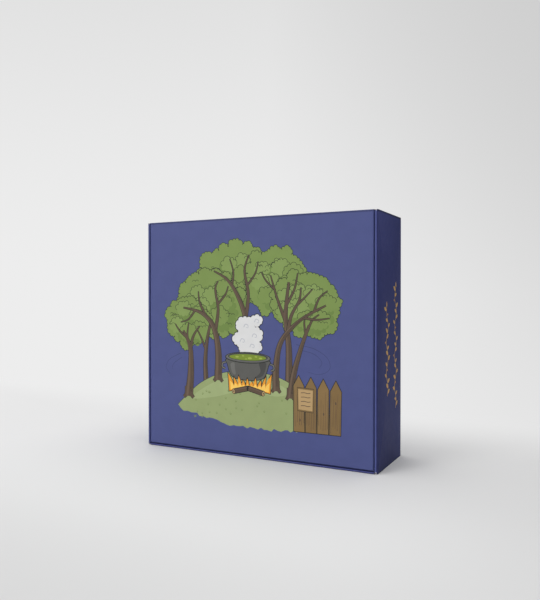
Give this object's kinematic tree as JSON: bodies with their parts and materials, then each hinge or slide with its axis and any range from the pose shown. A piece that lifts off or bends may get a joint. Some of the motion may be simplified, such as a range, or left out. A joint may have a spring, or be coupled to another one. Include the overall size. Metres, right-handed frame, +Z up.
{
  "type": "board game box",
  "caption": "Folding board game box, standing on its long edge, with a hinged tuck-in lid, card insert, game board, rulebook and components.",
  "frame": {"origin": "middle of the footprint, on the surface that the box stands on", "axes": "+X along the front from left to right, +Y from the front (the lid) to the back, +Z up to the wall that the lid hinges on"},
  "size_m": [0.3, 0.092, 0.28],
  "materials": {
    "blue_wood": "satin stained wood",
    "book_cover": "coated printed paper",
    "book_pages": "uncoated paper",
    "bookcloth": "woven bookbinding tape",
    "card_stock": "smooth playing card stock",
    "die_plastic": "polished",
    "green_wood": "satin stained wood",
    "grey_board": "printed paper over grey board",
    "insert_card": "plain white card",
    "paper_band": "uncoated paper strip",
    "pip_ink": "polished",
    "plain_wood": "clear-varnished wood",
    "printed_back": "matte laminated print, blue outside, white inside",
    "printed_board": "matte laminated print, blue outside, white inside, corrugated core at the cut edges",
    "red_wood": "satin stained wood",
    "staple_wire": "plain wire",
    "yellow_wood": "satin stained wood"
  },
  "bodies": {
    "box": {"back_panel": "printed_back", "top_wall": "printed_board", "bottom_wall_outer": "printed_board", "bottom_wall_inner": "printed_board", "left_wall_outer": "printed_board", "right_wall_outer": "printed_board", "left_wall_inner": "printed_board", "right_wall_inner": "printed_board", "top_wall_left_tab": "printed_board", "top_wall_right_tab": "printed_board", "bottom_wall_left_tab": "printed_board", "bottom_wall_right_tab": "printed_board", "insert_bottom": "insert_card", "insert_top": "insert_card", "insert_left_side": "insert_card", "insert_right_side": "insert_card", "insert_divider": "insert_card", "insert_platform": "insert_card", "insert_lower_card_floor": "insert_card", "insert_lower_card_shelf": "insert_card", "insert_upper_card_floor": "insert_card", "insert_upper_card_shelf": "insert_card", "insert_counter_floor": "insert_card", "insert_counter_shelf": "insert_card", "insert_pawn_floor": "insert_card", "insert_pawn_shelf": "insert_card", "insert_spare_floor": "insert_card", "game_board_leaf_1": "grey_board", "game_board_leaf_2": "grey_board", "game_board_leaf_3": "grey_board", "game_board_leaf_4": "grey_board", "game_board_tapes": "bookcloth", "rulebook_cover": "book_cover", "rulebook_pages": "book_pages", "rulebook_staples": "staple_wire", "lower_card_deck": "card_stock", "upper_card_deck": "card_stock", "lower_deck_band": "paper_band", "upper_deck_band": "paper_band", "pawns_red": "red_wood", "pawns_yellow": "yellow_wood", "pawns_green": "green_wood", "pawns_blue": "blue_wood", "counter_stack_1": "plain_wood", "counter_stack_2": "plain_wood", "die_1": "die_plastic", "die_2": "die_plastic", "dice_pips": "pip_ink"},
    "lid": {"lid_panel": "printed_board", "lid_left_dust_flap": "printed_board", "lid_right_dust_flap": "printed_board", "lid_hinge_crease": "printed_board", "tuck_crease": "printed_board"},
    "tuck_flap": {"tuck_flap": "printed_board"}
  },
  "joints": [
    {"name": "lid_hinge", "type": "hinge", "parent": "box", "child": "lid", "pos_m": [0, -0.04545, 0.27945], "axis": [-1, 0, 0], "range_deg": [0, 180]},
    {"name": "tuck_fold", "type": "hinge", "parent": "lid", "child": "tuck_flap", "pos_m": [0, -0.0449, 0.0043], "axis": [1, 0, 0], "range_deg": [0, 63]}
  ],
  "couplings": [
    {"joint": "tuck_fold", "follows": "lid_hinge", "ratio": 0.35}
  ]
}
